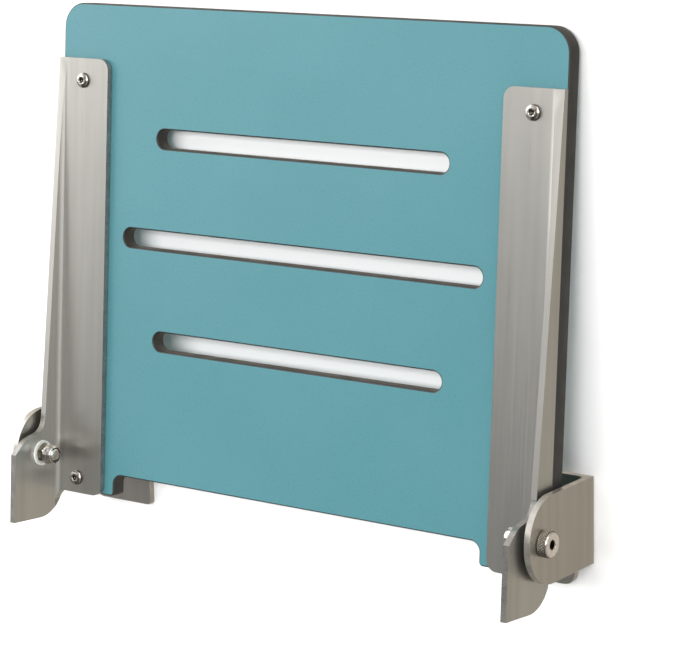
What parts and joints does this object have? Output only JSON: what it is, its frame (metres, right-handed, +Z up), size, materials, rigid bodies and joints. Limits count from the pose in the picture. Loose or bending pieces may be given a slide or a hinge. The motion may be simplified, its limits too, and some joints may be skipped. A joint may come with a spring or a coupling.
{
  "type": "fold-up shower seat",
  "caption": "Wall-mounted shower seat that folds up: a slotted solid board on two steel angle arms, hinged on steel wall brackets.",
  "frame": {"origin": "on the wall, midway between the two brackets, at the height of the hinge line", "axes": "+Z up, +Y into the wall, +X to the right of someone facing the wall, along the hinge line"},
  "size_m": [0.49, 0.1016, 0.3998],
  "materials": {
    "teal_laminate": "solid phenolic laminate, fine satin texture, teal faces on a black core",
    "arm_steel": "brushed lengthwise, satin",
    "bracket_steel": "brushed, satin",
    "turned_steel": "turned face, knurled side",
    "bright_steel": "bright stainless",
    "screw_steel": "bright stainless",
    "white_nylon": "natural nylon",
    "black_acetal": "black acetal",
    "black_rubber": "moulded, matt",
    "insert_brass": "turned, knurled"
  },
  "bodies": {
    "wall_frame": {"left_wall_bracket": "bracket_steel", "left_stop_pad": "black_rubber", "left_pivot_bolt": "turned_steel", "left_lock_nut": "bright_steel", "left_spacer_washer": "black_acetal", "left_nylon_washer": "white_nylon", "right_wall_bracket": "bracket_steel", "right_stop_pad": "black_rubber", "right_pivot_bolt": "turned_steel", "right_lock_nut": "bright_steel", "right_spacer_washer": "black_acetal", "right_nylon_washer": "white_nylon"},
    "seat": {"seat_board": "teal_laminate", "left_arm": "arm_steel", "left_arm_bush": "white_nylon", "left_top_screw": "screw_steel", "left_bottom_screw": "screw_steel", "left_top_insert": "insert_brass", "left_bottom_insert": "insert_brass", "right_arm": "arm_steel", "right_arm_bush": "white_nylon", "right_top_screw": "screw_steel", "right_bottom_screw": "screw_steel", "right_top_insert": "insert_brass", "right_bottom_insert": "insert_brass"}
  },
  "joints": [
    {"name": "seat_fold", "type": "hinge", "parent": "wall_frame", "child": "seat", "pos_m": [0, -0.0675, 0], "axis": [1, 0, 0], "range_deg": [0, 94.92]}
  ]
}
